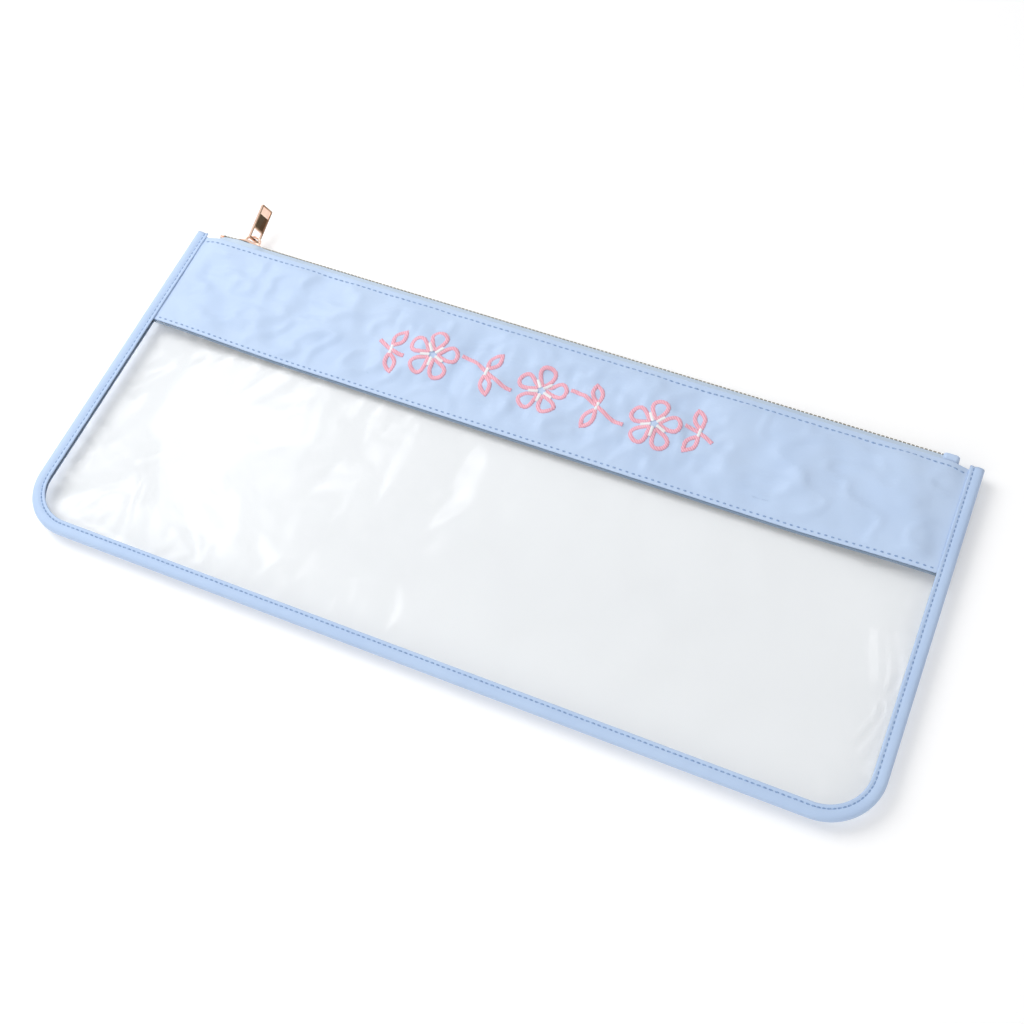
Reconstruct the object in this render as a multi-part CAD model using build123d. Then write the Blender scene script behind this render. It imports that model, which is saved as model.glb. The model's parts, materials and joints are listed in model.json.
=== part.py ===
from build123d import *
import os
from math import cos, radians, sin

os.makedirs("parts", exist_ok=True)

# Zip-top tile bag lying flat on its back, in millimetres.
# X runs along the zip, Y from the bottom seam to the zip, Z up from the table.
# The origin is on the table, under the middle of the bag.

# Body of the bag
body_width = 432.0
body_height = 190.0
corner_radius = 27.0
seam_height = 7.0  # the two halves meet at this height above the table
side_ramp = 34.0  # how far in from the binding the back panel reaches the table
floor_corner = 13.5

# Cloth and film
film_thickness = 0.4
band_thickness = 0.6
lining_thickness = 0.4
tape_thickness = 0.4
layer_ease = 0.05  # between one layer and the next
band_height = 60.0
film_tuck = 8.0  # film held between band and lining, above the hem
lining_drop = 1.5  # lining showing below the band's hem

# Edge binding
binding_width = 7.0
binding_wall = 0.7
binding_fold = 1.2  # cloth outside the cut edges
binding_roll = 1.6
binding_ease = 0.3  # cut edges stop this far from the fold

# Mouth of the bag
mouth_drop = 2.4  # from the body's top down to the bands' folded upper edges
mouth_bend = 22.6  # from there down to where the bands lie flat
mouth_inset = 11.0  # the mouth's raised part ends this far inside the binding
front_mouth_rise = 2.95
back_mouth_lift = 1.4
tape_tuck = 8.0
tape_ease = 0.3  # beside the slider
tape_clear = 0.1  # behind the teeth
tape_return = 4.0  # past the slider, where the tape falls back to its own line
tape_end = 8.0  # past the raised part of the mouth, inside the side seams

# Zip chain
zip_reach = 1.6  # centre line of the chain, above the body's top
zip_sink = 0.5  # and below the seam
zip_tilt = 10.0  # the chain's outer face looks this far above level
tooth_pitch = 2.1
tooth_depth = 1.6
tooth_root = 2.0
tooth_head = 0.55
tooth_root_width = 1.5
tooth_head_width = 0.84
tooth_slot = 0.3  # each tooth's slot runs this far past the tape's edge
chain_start = 1.0  # past the mouth's raised part, at the closed end
chain_stop = 1.0  # short of it, at the open end
end_closing = 0.45  # share of their spread that the open rows lose by their ends
tape_edge = 0.9

# Slider
slider_rest = 15.0  # slider's middle from the first tooth, as it is shown
slider_length = 11.5
slider_plate = 0.8
plate_waist = 0.12  # half the sloped stretch of the plates' sides, as a share of their length
plate_bevel = 0.28
chain_clearance = 0.3
flange_wall = 0.7
flange_gap = 0.95  # slot for the tape on each side
wedge_width = 1.5
wedge_length = 3.35
wedge_nose = 1.6  # from the slider's end to the wedge's widest part
wedge_setback = 0.5  # from the slider's end to the wedge's point
wedge_clearance = 0.15

# Bridge on top of the slider
bridge_length = 9.0
bridge_width = 1.8
bridge_thickness = 0.8
bridge_inside = 3.5
bridge_rounding = 0.6  # share of the bridge's height taken by its round corners

# Pull
pull_length = 21.1
pull_width = 7.9
pull_thickness = 1.4
pull_bar = 1.2
pull_window = 5.4
pull_arm = 0.8
pull_corner = 0.7
pull_window_corner = 0.4
pull_rim = 0.9
pull_recess = 0.3
pull_bevel = 0.18
pull_seat = 2.3  # centre of the bar above the slider's top plate
pull_direction = (-0.065, 0.983, 0.173)  # it stands out from the chain
pull_cross = (0.417, 0.184, -0.890)  # and hangs twisted within its play

# Stops and end tab
stop_length = 2.2
stop_wall = 0.5
stop_round = 0.3
stop_ease = 0.1
tab_overlap = 1.4  # the tab covers this much of the chain
tab_length = 8.1
tab_half_width = 4.2
tab_wall = 0.6
tab_round = 0.72
tab_skirt = 0.4  # the tab's sides reach this far behind the chain
tab_ease = 0.2

# Sizes worked out from the ones above
half_width = body_width / 2
half_height = body_height / 2
hem_y = half_height - band_height
rim_half = half_width - binding_width
flat_half = rim_half - side_ramp
mouth_y = half_height - mouth_drop
mouth_bend_y = mouth_y - mouth_bend
mouth_half_length = rim_half - mouth_inset
zip_y = half_height + zip_reach
zip_height = seam_height - zip_sink
chain_left = -mouth_half_length - chain_start
chain_right = mouth_half_length - chain_stop
slider_x = chain_left + slider_rest
tab_left = chain_right - tab_overlap
layer_gap = max(film_thickness, tape_thickness) + 2 * layer_ease
stack_half = band_thickness + layer_gap + lining_thickness
cut_inset = binding_fold + binding_ease
cut_half = half_width - cut_inset
front_film_z = seam_height + lining_thickness + layer_ease
back_film_z = seam_height - lining_thickness - layer_ease - film_thickness
back_band_z = seam_height - stack_half
plate_inner = tooth_depth / 2 + chain_clearance
plate_outer = plate_inner + slider_plate
row_spread = wedge_width / 2 + tooth_head + wedge_clearance
slider_half = tooth_root + row_spread + wedge_clearance + flange_wall
slider_rear_half = tooth_root + wedge_clearance + flange_wall
tilt = radians(zip_tilt)
chain_plane = Plane(
    origin=(0, zip_y, zip_height), x_dir=(1, 0, 0), z_dir=(0, cos(tilt), sin(tilt))
)


def chain_point(across, out=0.0):
    """Y and Z of a point of the chain: across its width, and out of its face."""
    y = zip_y + out * cos(tilt) + across * sin(tilt)
    z = zip_height + out * sin(tilt) - across * cos(tilt)
    return y, z


def ramp(x, start, end):
    """0 up to start, rising evenly to 1 at end, on both sides of the bag."""
    return min(max((abs(x) - start) / (end - start), 0.0), 1.0)


def smooth(t):
    t = min(max(t, 0.0), 1.0)
    return t * t * (3 - 2 * t)


# Levels of the layers

def front_levels(x):
    """Lower face of the front band at its hem, at the bend and at the mouth."""
    hem = seam_height + lining_thickness + layer_gap
    rise = front_mouth_rise * (1 - ramp(x, mouth_half_length, rim_half))
    return hem, hem, hem + rise


def back_levels(x):
    """Lower face of the back band at its hem, at the bend and at the mouth."""
    floor = back_band_z * ramp(x, flat_half, rim_half)
    end = back_band_z * ramp(mouth_half_length, flat_half, rim_half)
    mouth = (
        back_mouth_lift
        + (end - back_mouth_lift) * ramp(x, flat_half, mouth_half_length)
        + (back_band_z - end) * ramp(x, mouth_half_length, rim_half)
    )
    return floor, floor, mouth


def layer_line(x, levels, offset, first_y):
    """Middle line of a cloth layer across the bag at x, from first_y to the mouth."""
    hem, bend, mouth = levels(x)
    return [(first_y, hem + offset), (mouth_bend_y, bend + offset), (mouth_y, mouth + offset)]


# Thin strips made from their middle lines

def strip_face(x, line, thickness):
    """Outline of a strip of cloth cut across at x."""
    points = [Vector(x, y, z) for y, z in line]
    squares = []
    for start, end in zip(points, points[1:]):
        along = (end - start).normalized()
        squares.append(Vector(0, -along.Z, along.Y))
    upper, lower = [], []
    for point, before, after in zip(points, squares[:1] + squares, squares + squares[-1:]):
        half = (before + after) * (thickness / 2 / (1 + before.dot(after)))
        upper.append(point + half)
        lower.append(point - half)
    return Wire.make_polygon(upper + lower[::-1], close=True)


def strip(places, line_at, thickness):
    return Solid.make_loft([strip_face(x, line_at(x), thickness) for x in places], ruled=True)


def layer_places(end):
    inner = [mouth_half_length, rim_half, end]
    return [-x for x in inner[::-1]] + [-flat_half, flat_half] + inner


# Clear film panels

def body_outline(inset, top):
    """Body seen from above, rounded at the bottom corners and square at the top."""
    left, bottom = -half_width + inset, -half_height + inset
    corner = corner_radius - inset
    with BuildSketch() as outline:
        with Locations((0, (bottom + top) / 2)):
            Rectangle(-2 * left, top - bottom)
        low = outline.vertices().group_by(Axis.Y)[0]
        fillet(low, radius=corner)
    return outline.sketch


def slab(sketch, low, high):
    return extrude(Pos(0, 0, low) * sketch, amount=high - low)


def clear_front_panel():
    return slab(
        body_outline(cut_inset, hem_y + film_tuck), front_film_z, front_film_z + film_thickness
    )


def tray(lift):
    """Solid under the ramps of the back panel, from the table up to its rim."""
    rim = body_outline(binding_width, half_height)
    bottom = -half_height + binding_width + side_ramp
    with BuildSketch() as floor:
        with Locations((0, (bottom + half_height) / 2)):
            Rectangle(2 * flat_half, half_height - bottom)
        fillet(floor.vertices().group_by(Axis.Y)[0], radius=floor_corner)
    sections = [Pos(0, 0, lift) * floor.sketch, Pos(0, 0, lift + back_film_z) * rim]
    return loft([section.face() for section in sections], ruled=True)


def clear_back_panel():
    below_hem = Pos(0, hem_y - body_height / 2, 0) * Box(2 * body_width, body_height, body_height)
    pan = (tray(0) - tray(film_thickness)) & below_hem
    # The flat rim reaches in to where the ramp has its full thickness
    rim_inset = binding_width + film_thickness * side_ramp / back_film_z
    rim = slab(
        body_outline(cut_inset, hem_y) - body_outline(rim_inset, hem_y),
        back_film_z,
        back_film_z + film_thickness,
    )
    # The upper edge steps up over the band's hem and is held inside it
    step = band_thickness + film_thickness
    with BuildPart() as tuck:
        with Locations((0, hem_y - film_thickness, 0)):
            Box(2 * flat_half, film_thickness, step, align=(Align.CENTER, Align.MIN, Align.MIN))
        with Locations((0, hem_y - film_thickness, band_thickness)):
            Box(
                2 * flat_half,
                film_tuck + film_thickness,
                film_thickness,
                align=(Align.CENTER, Align.MIN, Align.MIN),
            )
    return pan + rim + tuck.part


# Bands and linings

def front_band():
    offset = band_thickness / 2
    line = lambda x: layer_line(x, front_levels, offset, hem_y)
    return strip(layer_places(cut_half), line, band_thickness)


def front_band_lining():
    offset = -layer_gap - lining_thickness / 2
    line = lambda x: layer_line(x, front_levels, offset, hem_y - lining_drop)
    return strip(layer_places(cut_half), line, lining_thickness)


def back_band():
    offset = band_thickness / 2
    line = lambda x: layer_line(x, back_levels, offset, hem_y)
    return strip(layer_places(cut_half), line, band_thickness)


def back_band_lining():
    offset = band_thickness + layer_gap + lining_thickness / 2
    line = lambda x: layer_line(x, back_levels, offset, hem_y + film_tuck / 2)
    return strip(layer_places(cut_half), line, lining_thickness)


# Edge binding round the sides and the bottom

def edge_binding():
    height = stack_half + binding_wall
    wrap = slab(
        body_outline(0, half_height) - body_outline(binding_width, half_height),
        seam_height - height,
        seam_height + height,
    )
    outer = [
        edge
        for edge in wrap.edges()
        if abs(abs(edge.center().Z - seam_height) - height) < 0.01
        and on_outline(edge)
    ]
    wrap = fillet(outer, radius=binding_roll)
    channel = slab(
        body_outline(binding_fold, half_height + 1), seam_height - stack_half, seam_height + stack_half
    )
    return wrap - channel


def on_outline(edge):
    """Whether an edge runs along the outside of the body."""
    middle = edge.position_at(0.5)
    if edge.geom_type == GeomType.CIRCLE:
        return abs(edge.radius - corner_radius) < 0.01
    near_side = abs(abs(middle.X) - half_width) < 0.01
    near_bottom = abs(middle.Y + half_height) < 0.01
    return near_side or near_bottom


# Zip chain and tapes

def row_offset(x):
    """How far a row of teeth lies from the chain's centre line."""
    spread = slider_x - slider_length / 2 + wedge_nose
    if x >= spread:
        return row_spread * smooth((slider_x - x) / (slider_x - spread))
    along = (spread - x) / (spread - chain_left)
    return row_spread * (1 - end_closing * smooth(along))


def tooth_solid():
    """Wedge that narrows to its head, slotted at the root for the tape."""
    root, head = tooth_root_width / 2, tooth_head_width / 2
    outline = Polyline(
        (-root, -tooth_root), (root, -tooth_root), (head, tooth_head), (-head, tooth_head), close=True
    )
    wedge = extrude(make_face(outline), amount=tooth_depth / 2, both=True)
    slot_depth = tooth_root - tape_edge + tooth_slot
    slot = Pos(0, -tooth_root, 0) * Box(
        2 * tooth_root_width, 2 * slot_depth, tape_thickness + 2 * layer_ease
    )
    return wedge - slot


def teeth(side, first):
    """One row of teeth: side is 1 for the front row and -1 for the back row."""
    tooth = tooth_solid()
    if side < 0:
        tooth = tooth.rotate(Axis.Z, 180)
    row = []
    x = chain_left + first
    while x + tooth_root_width / 2 < chain_right:
        place = chain_plane.location * Location((x, -side * row_offset(x), 0))
        row.append(tooth.moved(place))
        x += tooth_pitch
    return Compound(children=row)


def near_slider(x):
    """1 over the slider's length, falling to 0 a little way past each end."""
    past = abs(x - slider_x) - slider_length / 2 - tape_ease
    return 1 - smooth(past / tape_return)


def tape_line(x, side):
    """Middle line of a tape at x, from its edge in the chain to inside the band."""
    levels = front_levels if side > 0 else back_levels
    below_band = -layer_ease - tape_thickness / 2
    above_band = band_thickness + layer_ease + tape_thickness / 2
    inward = below_band if side > 0 else above_band
    hem, bend, mouth = levels(x)
    slope = (mouth - bend) / (mouth_y - mouth_bend_y)
    # The tape leaves the chain level with its edge, turns down behind it and
    # runs back to the band, and it goes round the slider where the slider stands
    near = near_slider(x)
    ending = ramp(x, mouth_half_length, rim_half)
    edge = row_offset(x) + tape_edge
    free = row_offset(x) * (1 - ending) + tooth_root + tape_clear + tape_thickness / 2
    beside = slider_half + tape_ease + tape_thickness / 2
    turn = free + near * (beside - free)
    back = plate_outer * near + tooth_depth / 2 * (1 - near)
    y, z = chain_point(-side * turn, -back)
    return [
        chain_point(-side * edge),
        chain_point(-side * turn),
        (y, z),
        (mouth_y, mouth + inward),
        (mouth_y - tape_tuck, mouth + inward - slope * tape_tuck),
    ]


def tape_places():
    half = slider_length / 2 + tape_ease
    beside = [slider_x + half * i / 4 for i in range(-4, 5)]
    return [
        -mouth_half_length - tape_end,
        -mouth_half_length,
        beside[0] - tape_return,
        *beside,
        -flat_half,
        flat_half,
        mouth_half_length,
        mouth_half_length + tape_end,
    ]


def tape(side):
    return strip(tape_places(), lambda x: tape_line(x, side), tape_thickness)


# Slider

def plate_outline(inset=0.0):
    """Slider plate, wide at the mouth and narrow at the tail."""
    front, rear = -slider_length / 2 + inset, slider_length / 2 - inset
    wide, narrow = slider_half - inset, slider_rear_half - inset
    waist = slider_length * plate_waist
    half = Polyline((front, 0), (front, wide), (-waist, wide), (waist, narrow), (rear, narrow), (rear, 0))
    return make_face(half + mirror(half, Plane.XZ))


def slider_plate_solid(low):
    plate = extrude(Pos(0, 0, low) * plate_outline(), amount=slider_plate)
    corners = plate.edges().filter_by(Axis.Z)
    ends = [e for e in corners if abs(abs(e.center().X) - slider_length / 2) < 0.01]
    return fillet(ends, radius=flange_wall)


def slider_body():
    """Two plates, a wedge between them at the mouth, and flanges along the sides."""
    top = slider_plate_solid(plate_inner)
    bottom = slider_plate_solid(-plate_outer)
    wall = plate_outline() - plate_outline(flange_wall)
    flanges = extrude(Pos(0, 0, -plate_inner) * wall, amount=2 * plate_inner)
    slot = Box(slider_length * 2, slider_half * 4, flange_gap)
    # The ends stay open for the two rows and the closed chain
    through = Box(slider_length * 2, 2 * (slider_rear_half - flange_wall), 2 * plate_inner)
    mouth = Pos(-slider_length / 2, 0, 0) * Box(
        slider_length / 2, 2 * (slider_half - flange_wall), 2 * plate_inner
    )
    front = -slider_length / 2
    nose = Polyline(
        (front + wedge_setback, 0),
        (front + wedge_nose, wedge_width / 2),
        (front + wedge_length, 0),
        (front + wedge_nose, -wedge_width / 2),
        close=True,
    )
    wedge = extrude(Pos(0, 0, -plate_inner) * make_face(nose), amount=2 * plate_inner)
    body = top + bottom + (flanges - slot - through - mouth) + wedge
    rim = [e for e in body.edges() if abs(abs(e.center().Z) - plate_outer) < 0.01]
    body = chamfer(rim, length=plate_bevel)
    return chain_plane.location * Pos(slider_x, 0, 0) * body


def slider_bridge():
    outer = bridge_inside + bridge_thickness
    round_corner = outer * bridge_rounding
    arch = RectangleRounded(bridge_length, 2 * outer, round_corner)
    hole = RectangleRounded(
        bridge_length - 2 * bridge_thickness, 2 * bridge_inside, round_corner - bridge_thickness
    )
    above = Pos(0, outer / 2) * Rectangle(bridge_length, outer)
    profile = (arch - hole) & above
    loop = extrude(profile, amount=bridge_width / 2, both=True).rotate(Axis.X, 90)
    return chain_plane.location * Pos(slider_x, 0, plate_outer) * loop


def pull_place():
    y, z = chain_point(0, plate_outer + pull_seat)
    along = Vector(pull_direction).normalized()
    across = Vector(pull_cross).normalized()
    return Plane(origin=(slider_x, y, z), x_dir=along, z_dir=along.cross(across)).location


def on_rim(edge):
    """Whether an edge runs round the outside of the pull."""
    middle = edge.position_at(0.5)
    side = pull_width / 2 - abs(middle.Y)
    end = min(abs(middle.X + pull_bar / 2), abs(middle.X + pull_bar / 2 - pull_length))
    return min(side, end) < pull_corner / 2


def zip_pull():
    """Flat tab with a window at the bridge end and a shallow panel on both faces."""
    start = -pull_bar / 2
    middle = start + pull_length / 2
    blank = Pos(middle, 0) * RectangleRounded(pull_length, pull_width, pull_corner)
    window = Pos(pull_bar / 2 + pull_window / 2, 0) * RectangleRounded(
        pull_window, pull_width - 2 * pull_arm, pull_window_corner
    )
    panel_start = pull_bar / 2 + pull_window + pull_rim
    panel_end = start + pull_length - pull_rim
    panel = Pos((panel_start + panel_end) / 2, 0) * RectangleRounded(
        panel_end - panel_start, pull_width - 2 * pull_rim, pull_window_corner
    )
    plate = extrude(blank - window, amount=pull_thickness / 2, both=True)
    for face in (-1, 1):
        level = face * pull_thickness / 2
        plate = plate - extrude(Pos(0, 0, level) * panel, amount=pull_recess, both=True)
    outer = [
        edge
        for edge in plate.edges()
        if abs(abs(edge.center().Z) - pull_thickness / 2) < 0.01 and on_rim(edge)
    ]
    plate = chamfer(outer, length=pull_bevel)
    return pull_place() * plate


# Stops and the tab at the end of the chain

def top_stop(side):
    """Clip pressed on one tape edge at the end of its row."""
    x = chain_left - stop_length
    depth = tooth_depth / 2
    width = tooth_root - tape_edge / 2
    clip = Box(stop_length, width, 2 * depth)
    clip = fillet(clip.edges().filter_by(Axis.X), radius=stop_round)
    slot = Pos(0, -side * stop_wall, 0) * Box(
        2 * stop_length, width, tape_thickness + 2 * stop_ease
    )
    across = -side * (row_offset(chain_left) + tape_edge / 2 + width / 2 - stop_wall)
    return chain_plane.location * Pos(x, across, 0) * (clip - slot)


def bottom_stop():
    """Clip across both tape edges that ends the chain."""
    x = chain_right + stop_length / 2
    depth = tooth_depth / 2
    clip = Box(stop_length, 2 * tooth_root, 2 * depth)
    clip = fillet(clip.edges().filter_by(Axis.X), radius=stop_round)
    for side in (-1, 1):
        inner = tape_edge - stop_ease
        slot = Box(
            2 * stop_length,
            tooth_root,
            tape_thickness + 2 * stop_ease,
            align=(Align.CENTER, Align.MIN if side > 0 else Align.MAX, Align.CENTER),
        )
        clip = clip - Pos(0, side * inner, 0) * slot
    return chain_plane.location * Pos(x, 0, 0) * clip


def end_tab():
    """Cloth tab folded over the outer face of the chain's end."""
    inner = tooth_depth / 2 + tab_ease
    outer = inner + tab_wall
    with BuildPart() as fold:
        with Locations((0, 0, (outer - tab_skirt) / 2)):
            Box(tab_length, 2 * tab_half_width, outer + tab_skirt)
        crest = fold.faces().sort_by(Axis.Z)[-1]
        fillet(crest.edges(), radius=tab_round)
        with Locations((0, 0, (inner - 2 * outer) / 2)):
            Box(
                2 * tab_length,
                2 * (tab_half_width - tab_wall),
                inner + 2 * outer,
                mode=Mode.SUBTRACT,
            )
    return chain_plane.location * Pos(tab_left + tab_length / 2, 0, 0) * fold.part


pieces = {
    "clear_front_panel": clear_front_panel(),
    "clear_back_panel": clear_back_panel(),
    "front_band": front_band(),
    "front_band_lining": front_band_lining(),
    "back_band": back_band(),
    "back_band_lining": back_band_lining(),
    "edge_binding": edge_binding(),
    "front_zip_tape": tape(1),
    "back_zip_tape": tape(-1),
    "front_teeth": teeth(1, 0.0),
    "back_teeth": teeth(-1, tooth_pitch / 2),
    "front_top_stop": top_stop(1),
    "back_top_stop": top_stop(-1),
    "bottom_stop": bottom_stop(),
    "end_tab": end_tab(),
    "slider_body": slider_body(),
    "slider_bridge": slider_bridge(),
    "zip_pull": zip_pull(),
}

for name, shape in pieces.items():
    export_step(shape, f"parts/{name}.step")
    print(name, len(shape.solids()))
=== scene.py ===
import json
import math

import bmesh
import bpy
from mathutils import Matrix, Vector, noise
from mathutils.bvhtree import BVHTree


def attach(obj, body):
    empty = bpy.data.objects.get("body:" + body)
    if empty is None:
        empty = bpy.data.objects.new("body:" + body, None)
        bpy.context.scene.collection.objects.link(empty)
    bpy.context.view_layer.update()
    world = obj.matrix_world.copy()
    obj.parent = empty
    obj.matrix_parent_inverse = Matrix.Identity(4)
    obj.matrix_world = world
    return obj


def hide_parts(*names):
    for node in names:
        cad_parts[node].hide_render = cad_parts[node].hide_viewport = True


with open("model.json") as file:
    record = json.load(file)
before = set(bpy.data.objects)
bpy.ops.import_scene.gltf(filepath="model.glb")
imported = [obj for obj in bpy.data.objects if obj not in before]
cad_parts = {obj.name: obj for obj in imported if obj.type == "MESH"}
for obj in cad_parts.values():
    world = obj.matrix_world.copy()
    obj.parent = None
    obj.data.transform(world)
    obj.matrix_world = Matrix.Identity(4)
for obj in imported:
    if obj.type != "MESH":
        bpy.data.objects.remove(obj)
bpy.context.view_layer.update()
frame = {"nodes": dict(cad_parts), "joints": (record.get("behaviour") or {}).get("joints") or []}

# Zip-top tile bag lying on its back: clear film, pale blue cloth, rose gold zip.
# Lengths in the settings are millimetres, and meshes are metres.

mm = 0.001
nodes = frame["nodes"]

bag = {
    "halfWidth": 216.0,
    "halfHeight": 95.0,
    "cornerRadius": 27.0,
    "seamHeight": 7.0,
    "hemY": 35.0,
    "backHemY": 37.6,
    "mouthY": 92.6,
    "stitchPitch": 3.3,
    "bindingWidth": 7.0,
    "embroidery": (1.5, 64.0),  # its middle
}

# the outline runs down the left side, round a corner, along the bottom and up again
half, low, high = bag["halfWidth"], -bag["halfHeight"], bag["halfHeight"]
radius = bag["cornerRadius"]
sideLength = high - low - radius
arcLength = radius * math.pi / 2
bottomLength = 2 * (half - radius)
# its legs: length, start and direction, or an arc's length, centre and first angle
legs = [
    (sideLength, (-half, high), (0, -1)),
    (arcLength, (-half + radius, low + radius), math.pi),
    (bottomLength, (-half + radius, low), (1, 0)),
    (arcLength, (half - radius, low + radius), 1.5 * math.pi),
    (sideLength, (half, low + radius), (0, 1)),
]


# Helpers

def smooth(t):
    t = min(max(t, 0.0), 1.0)
    return t * t * (3 - 2 * t)


# soft noise from -1 to 1 over the bag, with bumps about size wide
def ripple(x, y, size, seed, octaves=2):
    return noise.fractal(Vector((x / size, y / size, seed)), 0.9, 2.1, octaves)


# how far a point lies inside the bag's outline
def edgeDistance(x, y):
    cornerX, cornerY = half - radius, low + radius
    if abs(x) > cornerX and y < cornerY:
        return radius - math.hypot(abs(x) - cornerX, cornerY - y)
    return min(half - abs(x), y - low)


def fromBinding(x, y):
    return edgeDistance(x, y) - bag["bindingWidth"]


def addObject(name, data):
    made = bpy.data.objects.new(name, data)
    bpy.context.scene.collection.objects.link(made)
    return made


def meshOf(name, bm):
    mesh = bpy.data.meshes.new(name)
    bm.to_mesh(mesh)
    bm.free()
    return mesh


def meshObject(name, bm):
    return addObject(name, meshOf(name, bm))


# mesh of an object with its modifiers done
def evaluatedMesh(piece):
    depsgraph = bpy.context.evaluated_depsgraph_get()
    return bpy.data.meshes.new_from_object(piece.evaluated_get(depsgraph))


def shadeSmooth(piece):
    for face in piece.data.polygons:
        face.use_smooth = True


# runs a section of (y, z) points along the bag in steps of pitch
def sweepAlong(name, profile, reach, pitch):
    steps = round(2 * reach / pitch)
    bm = bmesh.new()
    ends = [bm.verts.new(Vector((-reach, y, z)) * mm) for y, z in profile]
    edges = [bm.edges.new(pair) for pair in zip(ends, ends[1:])]
    bmesh.ops.spin(
        bm, geom=ends + edges, cent=(0, 0, 0), axis=(0, 0, 1), angle=0, steps=steps,
        dvec=(2 * reach / steps * mm, 0, 0), use_merge=False,
    )
    bmesh.ops.remove_doubles(bm, verts=bm.verts, dist=1e-7)
    bmesh.ops.recalc_face_normals(bm, faces=bm.faces)
    return meshObject(name, bm)


def treeOf(piece):
    return BVHTree.FromObject(piece, bpy.context.evaluated_depsgraph_get())


# point and normal of the surface seen from above (side 1) or from below (-1)
def onSurface(tree, x, y, side=1):
    start = Vector((x * mm, y * mm, side * 0.05))
    point, normal, face, distance = tree.ray_cast(start, Vector((0, 0, -side)))
    return point, normal


def setMaterial(piece, material):
    piece.data.materials.clear()
    piece.data.materials.append(material)


def finishPiece(piece, body, material, replaced=()):
    setMaterial(piece, material)
    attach(piece, body)
    if replaced:
        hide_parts(*replaced)


# gives a sheet its wall and material, puts it on the bag's body and hides its part; its size laid
# flat in mm is not used
def finishSheet(piece, node, slotName, material, thickness, size, offset=0.0, **told):
    shadeSmooth(piece)
    wall = piece.modifiers.new("wall", "SOLIDIFY")
    wall.thickness = thickness * mm
    wall.offset = offset
    finishPiece(piece, "bag", material, (node,))
    told = {"held": "stretched", "rests_on": ["edge_binding"], **told}


# Shader nodes

def newMaterial(name, **values):
    material = bpy.data.materials.new(name)
    material.use_nodes = True
    tree = material.node_tree
    return material, tree, setNode(tree, tree.nodes["Principled BSDF"], **values)


# each value sets a property, sets a socket, or is linked to one
def setNode(tree, node, **values):
    for key, value in values.items():
        socket = key.replace("_", " ")
        if hasattr(node, key):
            setattr(node, key, value)
        elif isinstance(value, bpy.types.NodeSocket):
            tree.links.new(value, node.inputs[socket])
        else:
            node.inputs[socket].default_value = value
    return node


def addNode(tree, kind, **values):
    return setNode(tree, tree.nodes.new(kind), **values)


def mathNode(tree, operation, first, second):
    node = addNode(tree, "ShaderNodeMath", operation=operation)
    for socket, value in zip(node.inputs, (first, second)):
        if isinstance(value, float):
            socket.default_value = value
        else:
            tree.links.new(value, socket)
    return node.outputs["Value"]


def mixColours(tree, factor, first, second):
    mix = addNode(tree, "ShaderNodeMix", data_type="RGBA", Factor=factor)
    for socket, colour in zip([s for s in mix.inputs if s.type == "RGBA"], (first, second)):
        if isinstance(colour, tuple):
            socket.default_value = (*colour, 1)
        else:
            tree.links.new(colour, socket)
    return [s for s in mix.outputs if s.type == "RGBA"][0]


def mixShaders(tree, factor, first, second):
    mix = addNode(tree, "ShaderNodeMixShader", Fac=factor)
    tree.links.new(first, mix.inputs[1])
    tree.links.new(second, mix.inputs[2])
    return mix.outputs["Shader"]


def setSurface(tree, shaded):
    setNode(tree, tree.nodes["Material Output"], Surface=shaded)


# value from low..high brought to start..end
def ramped(tree, value, low, high, start=0.0, end=1.0, curve="LINEAR"):
    spread = addNode(
        tree, "ShaderNodeMapRange", interpolation_type=curve, Value=value, From_Min=low,
        From_Max=high, To_Min=start, To_Max=end,
    )
    return spread.outputs["Result"]


def objectPlace(tree):
    return addNode(tree, "ShaderNodeTexCoord").outputs["Object"]


def fromCentre(tree):
    reach = addNode(tree, "ShaderNodeVectorMath", operation="LENGTH")
    tree.links.new(objectPlace(tree), reach.inputs[0])
    return reach.outputs["Value"]


def cloudy(tree, place, scale, detail=2.0, roughness=0.5):
    cloud = addNode(
        tree, "ShaderNodeTexNoise", Vector=place, Scale=scale, Detail=detail, Roughness=roughness
    )
    return cloud.outputs["Fac"]


def banded(tree, place, direction, scale, **values):
    wave = addNode(
        tree, "ShaderNodeTexWave", wave_type="BANDS", bands_direction=direction, Vector=place,
        Scale=scale, **values,
    )
    return wave.outputs["Fac"]


# colour and roughness that follow patches, from low to high
def paintPatches(tree, shader, colour, patches, low, high):
    roughness = ramped(tree, patches, 0.2, 0.8, low, high)
    setNode(tree, shader, Base_Color=colour, Roughness=roughness)


def addRelief(tree, shader, height, strength, distance):
    relief = addNode(tree, "ShaderNodeBump", Height=height, Strength=strength, Distance=distance)
    setNode(tree, shader, Normal=relief.outputs["Normal"])


# Materials

# plain woven cloth: threads is the thread pitch in mm
def clothMaterial(name, light, dark, threads, roughness=0.62, bump=0.12, angle=0.0):
    material, tree, shader = newMaterial(name, Sheen_Weight=0.25, Sheen_Roughness=0.45)
    place = objectPlace(tree)
    turn = addNode(tree, "ShaderNodeMapping", Vector=place, Rotation=(0, 0, angle))
    waves = []
    for direction in ("X", "Y"):
        waves.append(banded(
            tree, turn.outputs["Vector"], direction, 0.157 / (threads * mm), Distortion=0.6,
            Detail=1.0, Detail_Scale=2.0,
        ))
    weave = mathNode(tree, "MULTIPLY", *waves)
    patches = cloudy(tree, place, 22.0, 5.0, 0.6)
    tone = mixColours(tree, ramped(tree, patches, 0.3, 0.7), dark, light)
    woven = mixColours(tree, ramped(tree, weave, 0.0, 0.6, 0.35, 0.0), tone, dark)
    paintPatches(tree, shader, woven, patches, roughness - 0.08, roughness + 0.08)
    addRelief(tree, shader, weave, bump, 0.15 * mm)
    return material


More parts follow.
